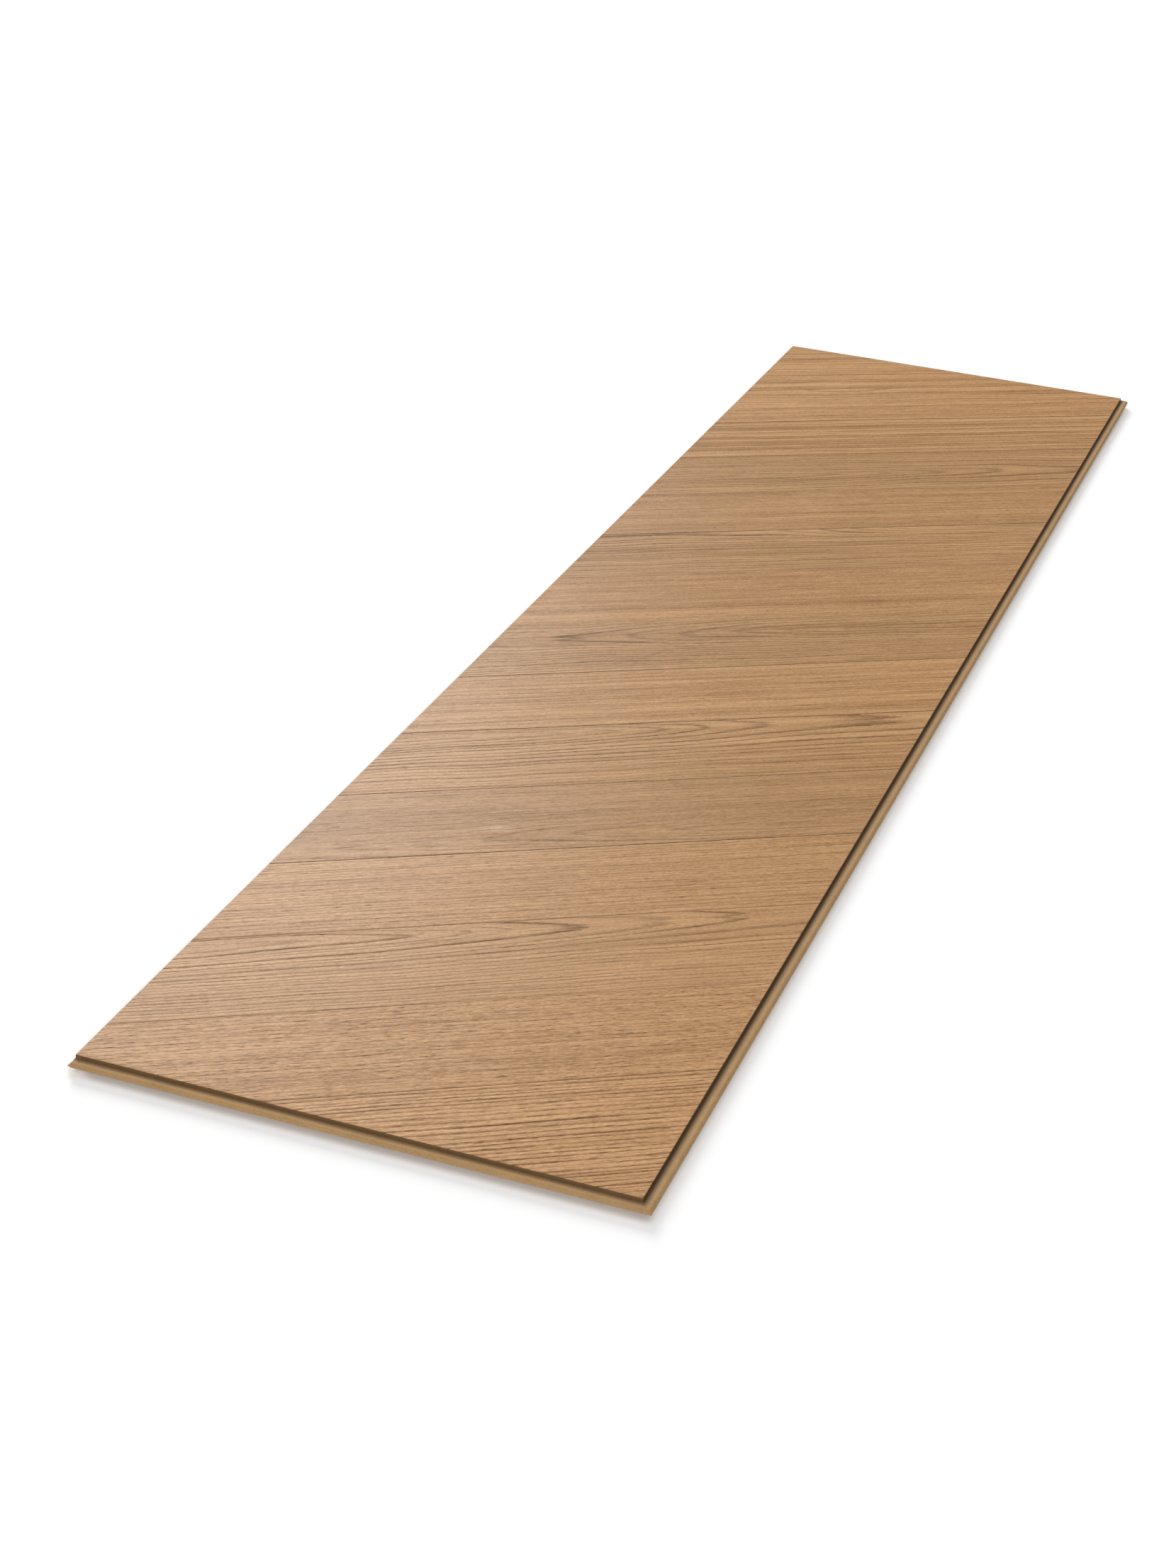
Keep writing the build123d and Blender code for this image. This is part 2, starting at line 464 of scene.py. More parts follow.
def face_rows(layout, rim):
    """Distances from the left edge of the grid's rows.

    There are even steps, two rows for each rim, and one at each place where a joint meets an end.
    """
    even = np.linspace(2 * rim, FACE_WIDTH - 2 * rim, round(FACE_WIDTH / ROW_STEP))
    far_ends = (layout.joints - rim) / layout.slant * FACE_WIDTH
    near_ends = (layout.joints + rim - FACE_LENGTH) / layout.slant * FACE_WIDTH
    ends = np.concatenate([far_ends, near_ends])
    ends = ends[(ends > 3 * rim) & (ends < FACE_WIDTH - 3 * rim)]
    inner = np.sort(np.concatenate([even, ends]))
    return np.concatenate([[0, rim], inner, [FACE_WIDTH - rim, FACE_WIDTH]])


def face_columns(layout, half_joint):
    """Runs s of the grid's columns: even steps in each strip, with three columns for each joint's groove."""
    share = np.linspace(0, 1, STRIP_STEPS + 1)
    low = layout.starts + half_joint
    high = layout.starts + layout.pitch - half_joint
    inner = low[:, None] + (high - low)[:, None] * share
    runs = np.sort(np.concatenate([inner.ravel(), layout.joints]))
    last = FACE_LENGTH + layout.slant
    return np.concatenate([[0], runs[(runs > 0) & (runs < last)], [last]])


def face_grid(layout, rim, half_joint):
    """Distances a and runs s of a grid along the joints, cut off square by the face's ends.

    Rows keep one distance a and columns one run s. A column that would pass an end stops at the rim there.
    The runs at which each row meets the far end and the near end come with it.
    """
    a = face_rows(layout, rim)[:, None]
    columns = face_columns(layout, half_joint)
    far_run = layout.slant * a / FACE_WIDTH
    near_run = far_run + FACE_LENGTH
    inner = np.clip(columns, far_run + rim, near_run - rim)
    s = np.concatenate([far_run, inner, near_run], 1)
    return np.broadcast_to(a, s.shape), s, far_run, near_run


def grid_numbers(s, far_run, near_run, rim):
    """Vertex number of each point of the grid, where points that a stop has laid on one share its number."""
    rows, count = s.shape
    column = np.arange(count)
    far_stop = (s <= far_run + rim).sum(1, keepdims=True) - 1
    near_stop = count - (s >= near_run - rim).sum(1, keepdims=True)
    inside = (column > 0) & (column < count - 1)
    kept = np.where(inside, np.clip(column, far_stop, near_stop), column)
    return kept + count * np.arange(rows)[:, None]


def stitched_faces(number):
    """Quads between neighbouring rows and columns of vertices, and triangles where two corners are one."""
    corners = np.stack([number[:-1, :-1], number[:-1, 1:], number[1:, 1:], number[1:, :-1]], -1)
    corners = corners.reshape(-1, 4)
    flat_first = corners[:, 0] == corners[:, 1]
    flat_last = corners[:, 2] == corners[:, 3]
    whole = corners[~flat_first & ~flat_last]
    first_only = corners[flat_first & ~flat_last][:, [0, 2, 3]]
    last_only = corners[flat_last & ~flat_first][:, [0, 1, 2]]
    return whole, np.concatenate([first_only, last_only])


def closing_faces(number, foot):
    """Four upright sides between a grid of vertices and the feet below its corners, and the underside."""
    left_edge = list(dict.fromkeys(number[0].tolist()))
    right_edge = list(dict.fromkeys(number[-1].tolist()))
    return [
        [*left_edge[::-1], foot[0], foot[1]],
        [*number[::-1, -1], foot[1], foot[2]],
        [*right_edge, foot[2], foot[3]],
        [*number[:, 0], foot[3], foot[0]],
        foot[::-1],
    ]


def face_relief(settings, to_joint, edge, years, lines):
    """Height of the face, from how far each point is from its joint and from the edge, and from its rings.

    It is the face's top less the groove at a joint, less the pressed ring lines, which fade out at joints and
    rim and where they cross the rows of the grid too fast for it to follow them. The rim lies lower.
    """
    rim = settings.rim / MM
    groove = np.clip(1 - to_joint, 0, 1)
    shift = np.abs(np.gradient(years, axis=0))
    calm = np.clip((to_joint - 1) / CALM_JOINT, 0, 1) * np.clip((edge - rim) / CALM_RIM, 0, 1)
    calm = calm * np.clip(2 - 2 * shift / RELIEF_SHIFT, 0, 1)
    pressed = 0.5 + 0.5 * np.cos(2 * np.pi * (years - DARKEST))
    height = FACE_TOP - settings.joint_depth / MM * groove - settings.relief / MM * lines * calm * pressed
    return np.where(edge < rim / 2, FACE_TOP - settings.rim_drop / MM, height)


def decor_mesh(settings):
    """The printed sheet as a closed mesh: a face on a grid along its joints, upright sides and an underside.

    Vertices carry the years of the rings, the strength of their lines and the darkness of joints and rim.
    Faces carry what the material needs from their strip's row.
    """
    layout = StripLayout(settings)
    rim = settings.rim / MM
    half_joint = settings.joint_width / MM / 2 / math.cos(layout.turn)
    a, s, far_run, near_run = face_grid(layout, rim, half_joint)
    place = layout.place(a, s)
    strip = np.searchsorted(layout.joints, s)
    years, lines = ring_field(layout, place @ layout.grain, place @ layout.cross, strip)
    to_joints = np.abs(s[..., None] - layout.joints) / half_joint
    to_joint = to_joints.min(-1)
    edge = np.minimum(np.minimum(a, FACE_WIDTH - a), np.minimum(s - far_run, near_run - s))
    height = face_relief(settings, to_joint, edge, years, lines)
    darkness = np.array([one.joint for one in STRIPS])[to_joints.argmin(-1)]
    seam = np.clip(JOINT_SPREAD * np.clip(1 - to_joint, 0, 1), 0, 1) * darkness
    seam = np.where(edge < rim / 2, RIM_DARKNESS, seam)

    number = grid_numbers(s, far_run, near_run, rim)
    quads, triangles = stitched_faces(number)
    sides = closing_faces(number, s.size + np.arange(4))
    faces = [*quads.tolist(), *triangles.tolist(), *sides]
    middle_run = np.concatenate([s.ravel()[part].mean(1) for part in (quads, triangles)])
    face_strip = np.append(np.searchsorted(layout.joints, middle_run), np.zeros(len(sides), int))
    feet = np.array([
        [FACE_LEFT, FACE_FAR, FACE_UNDERSIDE],
        [FACE_LEFT, FACE_NEAR, FACE_UNDERSIDE],
        [FACE_RIGHT, FACE_NEAR, FACE_UNDERSIDE],
        [FACE_RIGHT, FACE_FAR, FACE_UNDERSIDE],
    ])
    points = np.concatenate([np.concatenate([place, height[..., None]], -1).reshape(-1, 3), feet])
    told = {
        "seam": np.append(seam, np.full(4, RIM_DARKNESS)),
        "years": np.append(years, np.zeros(4)),
        "lines": np.append(lines, np.zeros(4)),
    }

    used = np.zeros(len(points), bool)
    used[np.concatenate(faces)] = True
    new_number = np.cumsum(used) - 1
    mesh = bpy.data.meshes.new("oak_decor_face")
    mesh.from_pydata(points[used] * MM, [], [new_number[face].tolist() for face in faces])
    for name, values in told.items():
        attribute = mesh.attributes.new(name, "FLOAT", "POINT")
        attribute.data.foreach_set("value", values[used].astype(np.float32))
    table = layout.strip_tables()
    for name, columns in STRIP_TABLES.items():
        attribute = mesh.attributes.new(name, "FLOAT_VECTOR", "FACE")
        values = np.stack([table[column][face_strip] for column in columns], -1)
        attribute.data.foreach_set("vector", values.astype(np.float32).ravel())
    mesh.polygons.foreach_set("use_smooth", np.arange(len(faces)) < len(faces) - len(sides))
    mesh.update()
    return mesh, layout


def grain_spots(tree, layout, strip):
    """The print's patterns, each in millimetres along and across its strip's grain."""
    place = node(tree, "ShaderNodeTexCoord", output="Object")
    place = node(tree, VECTOR, {0: place, "Scale": 1 / MM}, operation="SCALE")
    along = node(tree, VECTOR, {0: place, 1: (*layout.grain, 0)}, output="Value", operation="DOT_PRODUCT")
    across = node(tree, VECTOR, {0: place, 1: (*layout.cross, 0)}, output="Value", operation="DOT_PRODUCT")
    run = node(tree, MATH, {0: along, 1: strip["start"]}, operation="SUBTRACT")
    width = node(tree, MATH, {0: across, 1: strip["far_joint"]}, operation="SUBTRACT")
    grain = node(tree, COMBINE, {0: run, 1: width, 2: strip["seed"]})
    leaning = node(tree, MATH, {0: run, 1: strip["lean"], 2: width}, operation="MULTIPLY_ADD")
    leaning = node(tree, COMBINE, {0: run, 1: leaning, 2: strip["seed"]})
    spots = {}
    for name, pattern in PATTERNS.items():
        way = leaning if name == "rays" else grain
        scale = (1 / pattern.long, 1 / pattern.wide, 1)
        scaled = node(tree, VECTOR, {0: way, 1: scale}, operation="MULTIPLY")
        spots[name] = node(tree, NOISE, {
            "Vector": scaled, "Scale": 1.0, "Detail": pattern.octaves, "Roughness": pattern.roughness
        })
    return spots


def ring_marks(tree, strip, spots):
    """The dark ring lines, the slow shade before each, and the broad bands of good and bad years.

    A line darkens towards the end of its year and stops short, and no two years are alike.
    """
    years = node(tree, ATTRIBUTE, output="Fac", attribute_name="years")
    lines = node(tree, ATTRIBUTE, output="Fac", attribute_name="lines")
    years = node(tree, MATH, {0: spots["teeth"], 1: TEETH_SHIFT, 2: years}, operation="MULTIPLY_ADD")
    phase = node(tree, MATH, {0: years}, operation="FRACT")
    rise = node(tree, RANGE, {0: phase, 1: LINE_START, 2: DARKEST, 3: 0.0, 4: 1.0}, **SOFT)
    slow_rise = node(tree, RANGE, {0: phase, 1: SHADE_START, 2: DARKEST, 3: 0.0, 4: 1.0}, **SOFT)
    drop = node(tree, RANGE, {0: phase, 1: DARKEST, 2: LINE_STOP, 3: 1.0, 4: 0.0}, **SOFT)
    shade = slow_rise
    for share in (drop, lines):
        shade = node(tree, MATH, {0: shade, 1: share}, operation="MULTIPLY")

    year = node(tree, MATH, {0: years}, operation="FLOOR")
    year = node(tree, MATH, {0: year, 1: strip["seed"]}, operation="ADD")
    chance = node(tree, "ShaderNodeTexWhiteNoise", {"W": year}, noise_dimensions="1D")
    weight = node(tree, RANGE, {0: chance, 1: 0.0, 2: 1.0, 3: FAINTEST_YEAR, 4: 1.0})
    faint = node(tree, RANGE, {
        0: spots["fibres"], 1: FIBRES_FADE, 2: FIBRES_CROWD, 3: FADED_LINE, 4: CROWDED_LINE
    })
    line = rise
    for share in (drop, weight, faint, lines):
        line = node(tree, MATH, {0: line, 1: share}, operation="MULTIPLY")
    line = node(tree, MATH, {0: line, 1: LINE_STRENGTH}, operation="MULTIPLY", use_clamp=True)

    decade = node(tree, MATH, {0: years, 1: BAND_STEP, 2: strip["seed"]}, operation="MULTIPLY_ADD")
    bands = node(tree, NOISE, {"W": decade, "Scale": 1.0, "Detail": 1.0}, noise_dimensions="1D")
    bands = node(tree, RANGE, {0: bands, 1: LOW, 2: HIGH, 3: -BAND_SWING, 4: BAND_SWING})
    return line, shade, bands


def oak_melamine(settings, layout):
    """Printed and embossed melamine: oak strips with dark ring lines, open pores, pale ray flecks.

    The eye sees a satin sheet, warm brown, with each strip's own grain and tone, lines that sink a little
    into the face and dark joints between the strips.
    """
    material, tree, shader = new_material("oak_melamine_embossed")
    strip = {}
    for name, columns in STRIP_TABLES.items():
        table = node(tree, ATTRIBUTE, output="Vector", attribute_name=name)
        for i, column in enumerate(columns):
            strip[column] = node(tree, SEPARATE, {0: table}, output=i)
    seam = node(tree, ATTRIBUTE, output="Fac", attribute_name="seam")
    spots = grain_spots(tree, layout, strip)
    line, shade, bands = ring_marks(tree, strip, spots)

    # Pores crowd into the ring lines
    pores = node(tree, RANGE, {0: spots["pores"], 1: PORE_START, 2: PORE_FULL, 3: 0.0, 4: 1.0})
    crowd = node(tree, MATH, {0: line, 1: LINE_PORES, 2: PLAIN_PORES}, operation="MULTIPLY_ADD")
    pores = node(tree, MATH, {0: pores, 1: crowd}, operation="MULTIPLY")
    pores = node(tree, MATH, {0: pores, 1: strip["pores"]}, operation="MULTIPLY", use_clamp=True)

    # Ray flecks are thin wandering level lines of a smooth pattern, broken up by a second one
    ridge = node(tree, MATH, {0: spots["rays"], 1: RAY_STEP}, operation="PINGPONG")
    flecks = node(tree, RANGE, {0: ridge, 1: 0.0, 2: RAY_WIDTH, 3: 1.0, 4: 0.0})
    breaks = node(tree, RANGE, {0: spots["breaks"], 1: FLECK_START, 2: FLECK_FULL, 3: 0.0, 4: 1.0})
    for share in (breaks, strip["flecks"], FLECK_STRENGTH):
        flecks = node(tree, MATH, {0: flecks, 1: share}, operation="MULTIPLY")

    # Colour: pale wood that turns brown in bands, streaks and fibres, with the marks laid over it
    brown = node(tree, MATH, {0: bands, 1: strip["streaky"], 2: BROWN_SHARE}, operation="MULTIPLY_ADD")
    for swings, share in ((BROAD_SWINGS, strip["streaky"]), (FINE_SWINGS, 1.0)):
        for name, swing in swings.items():
            part = node(tree, RANGE, {0: spots[name], 1: LOW, 2: HIGH, 3: -swing, 4: swing}, clamp=False)
            brown = node(tree, MATH, {0: part, 1: share, 2: brown}, operation="MULTIPLY_ADD")
    cast = node(tree, MATH, {0: spots["clouds"], 1: shade}, operation="ADD")
    cast = node(tree, MATH, {0: cast, 1: strip["grey"]}, operation="MULTIPLY", use_clamp=True)
    base = opaque(settings.pale_wood)
    for share, tint in (
        (brown, settings.brown_wood),
        (cast, settings.grey_wood),
        (line, settings.ring_line),
        (pores, settings.pore),
        (flecks, settings.fleck),
    ):
        base = node(tree, MIX, {MIX_FACTOR: share, MIX_A: base, MIX_B: opaque(tint)}, **OF_COLOURS)
    base = node(tree, VECTOR, {0: base, "Scale": strip["light"]}, operation="SCALE")
    base = node(tree, MIX, {MIX_FACTOR: seam, MIX_A: base, MIX_B: opaque(settings.joint)}, **OF_COLOURS)
    tree.links.new(base, shader.inputs["Base Color"])

    # Satin: lines, pores and joints are duller than the pressed sheet between them
    dull = SHEET_ROUGHNESS
    for mark, more in ((line, DULLER["line"]), (pores, DULLER["pores"]), (seam, DULLER["seam"])):
        dull = node(tree, MATH, {0: mark, 1: more, 2: dull}, operation="MULTIPLY_ADD")
    tree.links.new(dull, shader.inputs["Roughness"])
    shader.inputs["Specular IOR Level"].default_value = SHEET_SPECULAR

    # Relief of about a tenth of a millimetre
    sunk = 1.0
    for mark, rise in ((line, -LINE_SINK), (pores, -PORE_SINK), (spots["fibres"], FIBRE_RISE)):
        sunk = node(tree, MATH, {0: mark, 1: rise, 2: sunk}, operation="MULTIPLY_ADD")
    relief = node(tree, "ShaderNodeBump", {
        "Height": sunk, "Distance": RELIEF_DEPTH * MM, "Strength": RELIEF_STRENGTH
    })
    tree.links.new(relief, shader.inputs["Normal"])
    return material


def nose(settings, edge, gap):
    """Quarter round of a tongue's nose, or of the groove round it, from its top to its tip."""
    radius = settings.nose_radius / MM
    angle = np.linspace(np.pi / 2, 0, NOSE_STEPS + 1)
    middle = np.array([edge + TONGUE_REACH - radius, FACE_TOP - settings.tongue_drop / MM - radius])
    return middle + (radius + gap) * np.stack([np.cos(angle), np.sin(angle)], -1)


def underside(settings, edge, gap):
    """Corners from just below the nose, under the tongue and its heel, to the recess."""
    level = FACE_TOP - (settings.tongue_drop + settings.nose_radius + settings.bevel_height) / MM
    heel = (settings.lip_floor + settings.joint_gap) / MM
    roof = heel + settings.lock_height / MM
    return np.array([
        [edge + TONGUE_REACH - settings.bevel_width / MM, level - gap],
        [edge + settings.heel_outer / MM, heel - gap],
        [edge + settings.heel_inner / MM - gap, heel - gap],
        [edge + settings.lock_reach / MM - gap, roof - gap],
    ])


def edge_outline(settings, face_span):
    """Closed outline of the core's section across two opposite edges, as distance and height.

    It runs along the top, round the tongue, back underneath and round the groove.
    """
    groove_edge, tongue_edge = -face_span / 2, face_span / 2
    gap = settings.joint_gap / MM
    bump = (settings.lip_floor + settings.lock_height) / MM
    bevel = settings.lip_bevel / MM
    recess = tongue_edge - LIP_REACH - settings.lip_end_gap / MM
    lip_end = groove_edge - LIP_REACH
    tongue_top = FACE_TOP - settings.tongue_drop / MM
    return np.concatenate([
        [[groove_edge, tongue_top + gap], [groove_edge, FACE_UNDERSIDE]],
        [[tongue_edge, FACE_UNDERSIDE], [tongue_edge, tongue_top]],
        nose(settings, tongue_edge, 0),
        underside(settings, tongue_edge, 0),
        [[recess, bump + gap], [recess, 0]],
        [[lip_end, 0], [lip_end, bump - bevel], [lip_end + bevel, bump]],
        underside(settings, groove_edge, gap)[::-1],
        nose(settings, groove_edge, gap)[::-1],
    ])


def tongue_outline(settings, face_span):
    """Closed outline of the tongue alone."""
    edge = face_span / 2
    roof = (settings.lip_floor + settings.joint_gap + settings.lock_height) / MM
    tongue_top = FACE_TOP - settings.tongue_drop / MM
    return np.concatenate([
        [[edge, roof], [edge, tongue_top]],
        nose(settings, edge, 0),
        underside(settings, edge, 0),
    ])


def bar(name, outline, direction, span):
    """A closed outline carried straight along a span, as an object: a ring of quads and two flat ends.

    The outline's distance runs along +X for the long edges and along -Y for the end edges.
    """
    count = len(outline)
    ends = np.repeat(np.array(span), count)
    distance, level = np.tile(outline, (2, 1)).T
    if direction == "along":
        points = np.stack([FACE_MIDDLE[0] + distance, FACE_MIDDLE[1] + ends, level], -1)
    else:
        points = np.stack([FACE_MIDDLE[0] + ends, FACE_MIDDLE[1] - distance, level], -1)
    first = np.arange(count)
    after = np.roll(first, -1)
    sides = np.stack([first, after, after + count, first + count], -1).tolist()
    faces = sides + [first[::-1].tolist(), (first + count).tolist()]
    mesh = bpy.data.meshes.new(name)
    mesh.from_pydata(points * MM, [], faces)
    made = bpy.data.objects.new(name, mesh)
    bpy.context.scene.collection.objects.link(made)
    return made


def core_mesh(settings):
    """The core as it is milled: the long edges' bar cut by the end edges' bar.

    Both tongues are then run whole to the face's corners. Boolean modifiers do this, and only edges of more
    than SHARP_ANGLE degrees look sharp.
    """
    half_length, half_width = FACE_LENGTH / 2, FACE_WIDTH / 2
    beyond = 3 * TONGUE_REACH
    long_span = (-half_length - beyond, half_length + beyond)
    end_span = (-half_width - beyond, half_width + beyond)
    long_tongue = tongue_outline(settings, FACE_WIDTH)
    end_tongue = tongue_outline(settings, FACE_LENGTH)
    board = bar("board", edge_outline(settings, FACE_WIDTH), "along", long_span)
    cutters = [
        ("INTERSECT", bar("ends", edge_outline(settings, FACE_LENGTH), "across", end_span)),
        ("UNION", bar("long_tongue", long_tongue, "along", (-half_length, half_length))),
        ("UNION", bar("end_tongue", end_tongue, "across", (-half_width, half_width))),
    ]
    for operation, cutter in cutters:
        step = board.modifiers.new(operation, "BOOLEAN")
        step.operation = operation
        step.solver = "MANIFOLD"
        step.object = cutter
    bpy.context.view_layer.update()
    shaped = board.evaluated_get(bpy.context.evaluated_depsgraph_get())
    mesh = bpy.data.meshes.new_from_object(shaped)
    for spare in [board, *(cutter for operation, cutter in cutters)]:
        bpy.data.objects.remove(spare)
    mesh.name = "hdf_board"
    mesh.materials.clear()
    mesh.polygons.foreach_set("use_smooth", np.ones(len(mesh.polygons), bool))
    mesh.set_sharp_from_angle(angle=math.radians(SHARP_ANGLE))
    return mesh


def milled_hdf(settings):
    """High-density fibreboard, milled: matt tan with fine dark fibres and a slow change of tone.

    Above the tongue's top the step is waxed dark, and the same dark runs out a little way on the tongue as
    painted shadow of the step, weaker at the near end as painted light. The underside has plain backing
    paper.
    """
    material, tree, shader = new_material("milled_hdf")
    place = node(tree, "ShaderNodeTexCoord", output="Object")
    place = node(tree, VECTOR, {0: place, "Scale": 1 / MM}, operation="SCALE")
    right, far, height = (node(tree, SEPARATE, {0: place}, output=axis) for axis in "XYZ")
    fine = node(tree, NOISE, {"Vector": place, "Scale": 1 / FIBRE_SIZE, "Detail": 3.0, "Roughness": 0.7})
    coarse = node(tree, NOISE, {"Vector": place, "Scale": 1 / TONE_SIZE, "Detail": 2.0})
    fibre = node(tree, RANGE, {0: fine, 1: FIBRE_START, 2: FIBRE_FULL, 3: 0.0, 4: FIBRE_STRENGTH})
    tone = node(tree, RANGE, {0: coarse, 1: 0.3, 2: 0.7, 3: DARK_TONE, 4: LIGHT_TONE})
    base = opaque(settings.board)
    base = node(tree, MIX, {MIX_FACTOR: fibre, MIX_A: base, MIX_B: opaque(settings.fibre)}, **OF_COLOURS)
    base = node(tree, VECTOR, {0: base, "Scale": tone}, operation="SCALE")

    # Painted shadow: the waxed step's dark runs out on the tongue where the step's shadow falls, weaker at
    # the near end
    past_right = node(tree, MATH, {0: right, 1: FACE_RIGHT}, operation="SUBTRACT")
    past_near = node(tree, MATH, {0: FACE_NEAR, 1: far}, operation="SUBTRACT")
    past = node(tree, MATH, {0: past_right, 1: past_near}, operation="MAXIMUM")
    tongue_top = FACE_TOP - settings.tongue_drop / MM
    wax_and_shadow = node(tree, RANGE, {
        0: height, 1: tongue_top - WAX_AND_SHADOW_DROP, 2: tongue_top - WAX_AND_SHADOW_FULL_DROP, 3: 0.0, 4: 1.0
    })
    reach = node(tree, RANGE, {0: past, 1: STEP_SHADOW_FULL_REACH, 2: settings.step_shadow_reach / MM, 3: 1.0, 4: 0.0})
    near_shadow_share = node(tree, RANGE, {0: past_near, 1: -NEAR_SHADOW_MARGIN, 2: 0.0, 3: 1.0, 4: settings.near_wax_and_shadow})
    for share in (reach, near_shadow_share):
        wax_and_shadow = node(tree, MATH, {0: wax_and_shadow, 1: share}, operation="MULTIPLY")
    backing = node(tree, RANGE, {0: height, 1: PAPER_FULL_RISE, 2: PAPER_RISE, 3: 1.0, 4: 0.0})
    for share, tint in ((wax_and_shadow, settings.wax_and_step_shadow), (backing, settings.paper)):
        base = node(tree, MIX, {MIX_FACTOR: share, MIX_A: base, MIX_B: opaque(tint)}, **OF_COLOURS)
    tree.links.new(base, shader.inputs["Base Color"])
    shader.inputs["Roughness"].default_value = BOARD_ROUGHNESS
    rough = node(tree, "ShaderNodeBump", {
        "Height": fine, "Distance": BOARD_RELIEF * MM, "Strength": BOARD_RELIEF_STRENGTH
    })
    tree.links.new(rough, shader.inputs["Normal"])
    return material


def add_piece(mesh, material, node_name):
    """Puts a finished mesh in the scene as the piece that stands for a CAD node."""
    mesh.materials.append(material)
    piece = bpy.data.objects.new(mesh.name, mesh)
    bpy.context.scene.collection.objects.link(piece)
    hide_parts(node_name)
    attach(piece, "root")


class PLANK_OT_decor(bpy.types.Operator):
    """Makes the printed oak face"""

    bl_idname = "plank.decor"
    bl_label = "Oak Face"

    def execute(self, context):
        settings = context.scene.plank_decor
        mesh, layout = decor_mesh(settings)
        add_piece(mesh, oak_melamine(settings, layout), "decor_layer")
        return {"FINISHED"}


class PLANK_OT_core(bpy.types.Operator):
    """Makes the milled fibreboard core"""

    bl_idname = "plank.core"
    bl_label = "Fibreboard Core"

    def execute(self, context):
        settings = context.scene.plank_core
        add_piece(core_mesh(settings), milled_hdf(settings), "hdf_core")
        return {"FINISHED"}


# Where the camera stands, in metres, and how it is turned, in degrees
CAMERA_PLACE = (0.43125, -1.64016, 0.73818)
CAMERA_AZIMUTH = 18.05
CAMERA_ELEVATION = 26.59
CAMERA_ROLL = 3.605

# Where the soft lights stand, seen from the plank, in degrees, and how far and large they are, in metres
KEY_AZIMUTH = -36
KEY_ELEVATION = 25
FILL_AZIMUTH = 160
FILL_ELEVATION = 22
LIGHT_DISTANCE = 6.0
LIGHT_SIZE = 3.0
FLOOR_SIZE = 40.0

# How far from the plank the floor's glow starts to rise to the far one, and where it reaches it, in metres
GLOW_NEAR = 1.2
GLOW_FAR = 6.0

# Heights on the dome, with the horizon at 0 and the top at 1: where its light starts and where it is full,
# and where a white backdrop that lights nothing starts to fade and where it ends
CEILING_START, CEILING_FULL = 0.55, 0.98
BACKDROP_FULL, BACKDROP_END = 0.08, 0.15

# Light of the dome below its ceiling, against the ceiling
DOME_WALL = 0.02


def toward(azimuth, elevation):
    """Unit vector to a point seen so far to the right of +Y and so far above the floor, in degrees."""
    turn, rise = math.radians(azimuth), math.radians(elevation)
    return np.array([math.sin(turn) * math.cos(rise), math.cos(turn) * math.cos(rise), math.sin(rise)])


def camera_turn(azimuth, elevation, roll):
    """Rotation of a camera that looks down by the elevation, is turned by the azimuth and rolled."""
    upright = Matrix.Rotation(math.radians(azimuth), 3, "Z")
    tilted = Matrix.Rotation(math.radians(90 - elevation), 3, "X")
    rolled = Matrix.Rotation(math.radians(roll), 3, "Z")
    return (upright @ tilted @ rolled).to_euler()


def seen_rays(tree):
    """1 on rays that show a thing by itself, in a reflection or through glass, and 0 on all others."""
    seen = node(tree, "ShaderNodeLightPath", output="Is Camera Ray")
    for ray in ("Is Glossy Ray", "Is Transmission Ray"):
        other = node(tree, "ShaderNodeLightPath", output=ray)
        seen = node(tree, MATH, {0: seen, 1: other}, operation="MAXIMUM")
    return seen


def pale_floor(settings):
    """A wide matt floor that takes the shadow. It glows a little on seen rays only, and so looks white."""
    half = FLOOR_SIZE / 2
    corners = [(-half, -half, 0), (half, -half, 0), (half, half, 0), (-half, half, 0)]
    mesh = bpy.data.meshes.new("floor")
    mesh.from_pydata(corners, [], [(0, 1, 2, 3)])
    material, tree, shader = new_material("matt_pale_floor")
    shader.inputs["Base Color"].default_value = opaque(settings.floor)
    shader.inputs["Roughness"].default_value = 1.0
    shader.inputs["Specular IOR Level"].default_value = 0.0
    shader.inputs["Emission Color"].default_value = (1, 1, 1, 1)
    place = node(tree, "ShaderNodeTexCoord", output="Object")
    away = node(tree, VECTOR, {0: place}, output="Value", operation="LENGTH")
    glow = node(tree, RANGE, {
        0: away, 1: GLOW_NEAR, 2: GLOW_FAR, 3: settings.floor_glow, 4: settings.far_glow
    }, **SOFT)
    glow = node(tree, MATH, {0: seen_rays(tree), 1: glow}, operation="MULTIPLY")
    tree.links.new(glow, shader.inputs["Emission Strength"])
    mesh.materials.append(material)
    floor = bpy.data.objects.new("floor", mesh)
    bpy.context.scene.collection.objects.link(floor)


def studio_dome(settings):
    """A white dome that lights from its ceiling, with a backdrop above the horizon on seen rays only."""
    world = bpy.data.worlds.new("studio_dome")
    world.use_nodes = True
    tree = world.node_tree
    tree.nodes.clear()
    way = node(tree, "ShaderNodeTexCoord", output="Generated")
    height = node(tree, SEPARATE, {0: way}, output="Z")
    ceiling = node(tree, RANGE, {0: height, 1: CEILING_START, 2: CEILING_FULL, 3: DOME_WALL, 4: 1.0}, **SOFT)
    strength = node(tree, MATH, {0: ceiling, 1: settings.dome}, operation="MULTIPLY")
    backdrop = node(tree, RANGE, {0: height, 1: BACKDROP_FULL, 2: BACKDROP_END, 3: 1.0, 4: 0.0}, **SOFT)
    strength = node(tree, MATH, {0: seen_rays(tree), 1: backdrop, 2: strength}, operation="MULTIPLY_ADD")
    sky = node(tree, "ShaderNodeBackground", {"Color": (1, 1, 1, 1), "Strength": strength})
    tree.links.new(sky, tree.nodes.new("ShaderNodeOutputWorld").inputs["Surface"])
    bpy.context.scene.world = world


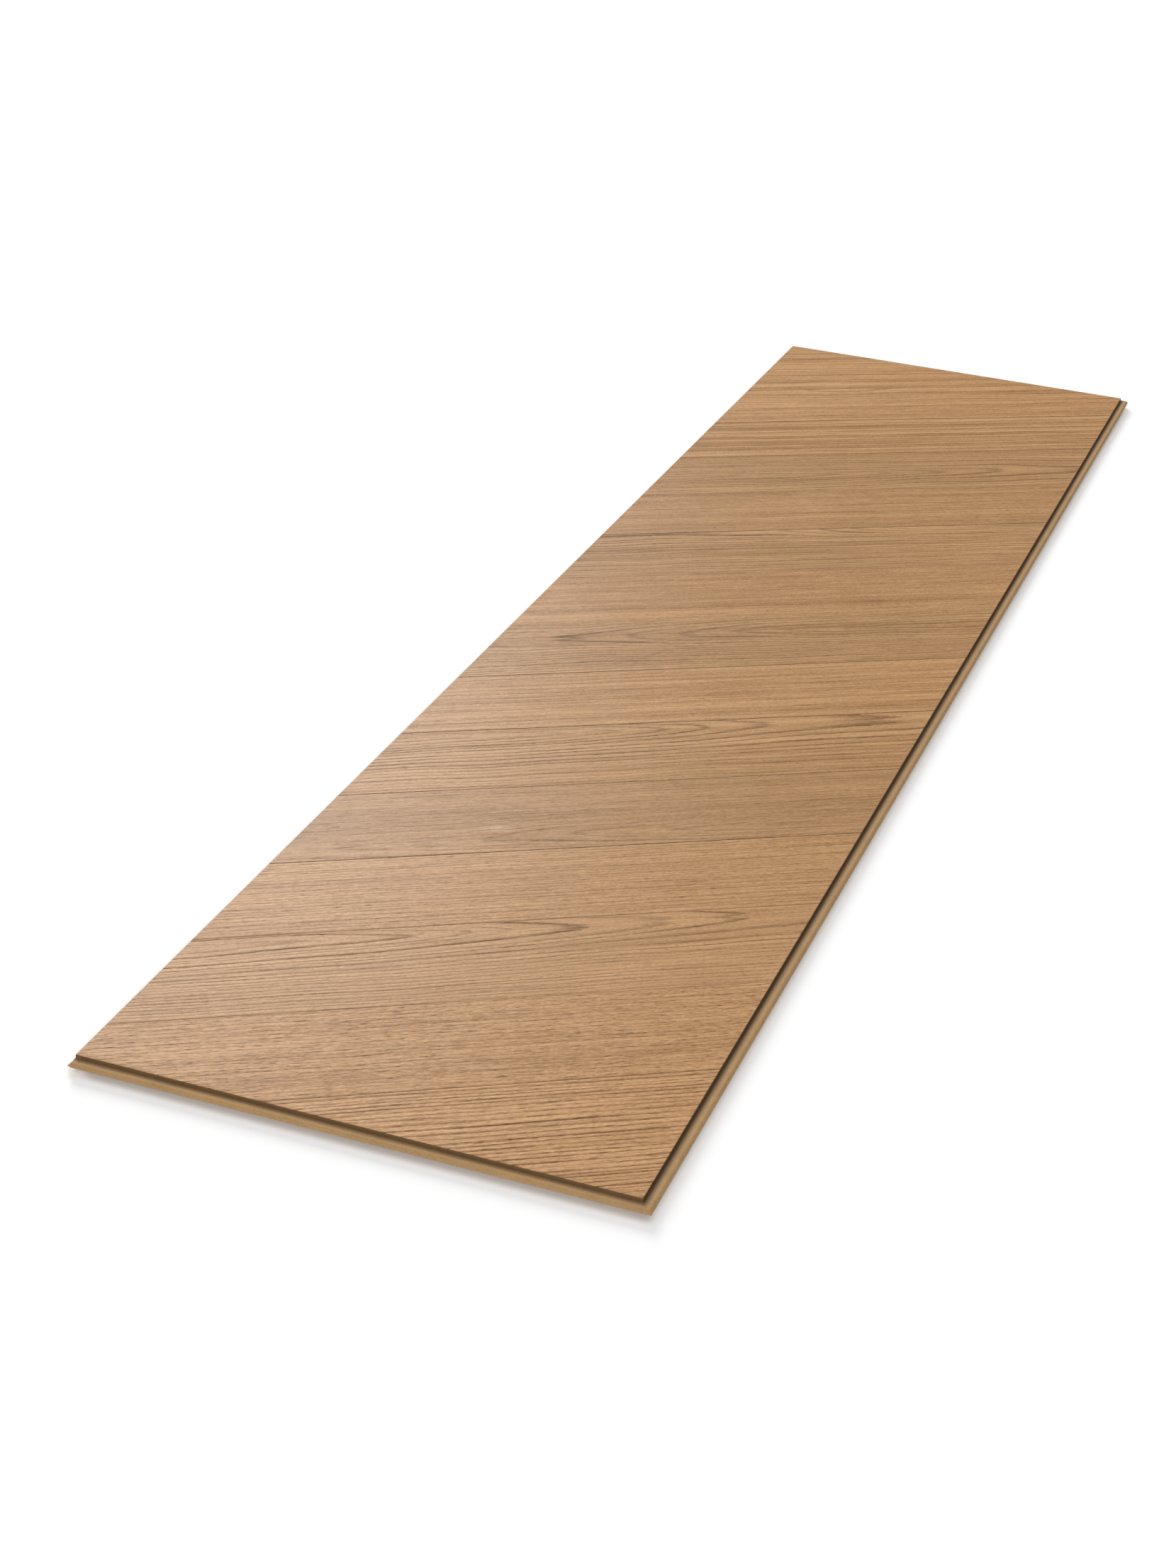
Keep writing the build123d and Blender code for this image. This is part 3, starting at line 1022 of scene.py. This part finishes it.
def soft_light(name, power, azimuth, elevation):
    """A round soft light that shines on the plank from so far round it and so far up."""
    lamp = bpy.data.lights.new(name, "AREA")
    lamp.shape = "DISK"
    lamp.size = LIGHT_SIZE
    lamp.energy = power
    light = bpy.data.objects.new(name, lamp)
    light.location = toward(azimuth, elevation) * LIGHT_DISTANCE
    light.rotation_euler = (math.radians(90 - elevation), 0, math.radians(180 - azimuth))
    bpy.context.scene.collection.objects.link(light)


def photo_camera(settings):
    """The camera, where the photo's stood."""
    data = bpy.data.cameras.new("camera")
    data.lens = settings.lens
    data.clip_end = 100
    camera = bpy.data.objects.new("camera", data)
    camera.location = CAMERA_PLACE
    camera.rotation_euler = camera_turn(CAMERA_AZIMUTH, CAMERA_ELEVATION, CAMERA_ROLL)
    bpy.context.scene.collection.objects.link(camera)
    bpy.context.scene.camera = camera


class PLANK_OT_stage(bpy.types.Operator):
    """Makes the pale floor, the soft studio light and the camera"""

    bl_idname = "plank.stage"
    bl_label = "Studio"

    def execute(self, context):
        settings = context.scene.plank_stage
        context.scene.view_settings.view_transform = "Standard"
        pale_floor(settings)
        studio_dome(settings)
        soft_light("key", settings.key, KEY_AZIMUTH, KEY_ELEVATION)
        soft_light("fill", settings.fill, FILL_AZIMUTH, FILL_ELEVATION)
        photo_camera(settings)
        return {"FINISHED"}


class PLANK_PT_sidebar(bpy.types.Panel):
    """Lists the plank's pieces and their settings"""

    bl_idname = "PLANK_PT_sidebar"
    bl_label = "Laminate Plank"
    bl_space_type = "VIEW_3D"
    bl_region_type = "UI"
    bl_category = "Plank"

    def draw(self, context):
        for operator, group in PIECES:
            box = self.layout.box()
            box.operator(operator.bl_idname)
            settings = getattr(context.scene, group)
            for name in settings.__annotations__:
                box.prop(settings, name)


SETTINGS = {"plank_core": CoreSettings, "plank_decor": DecorSettings, "plank_stage": StageSettings}
PIECES = [
    (PLANK_OT_core, "plank_core"),
    (PLANK_OT_decor, "plank_decor"),
    (PLANK_OT_stage, "plank_stage"),
]
CLASSES = [*SETTINGS.values(), *(operator for operator, group in PIECES), PLANK_PT_sidebar]


def register():
    for one in CLASSES:
        bpy.utils.register_class(one)
    for group, kind in SETTINGS.items():
        setattr(bpy.types.Scene, group, bpy.props.PointerProperty(type=kind))


def unregister():
    for group in SETTINGS:
        delattr(bpy.types.Scene, group)
    for one in reversed(CLASSES):
        bpy.utils.unregister_class(one)


def main():
    register()
    bpy.ops.plank.core()
    bpy.ops.plank.decor()
    bpy.ops.plank.stage()


if __name__ == "__main__":
    main()
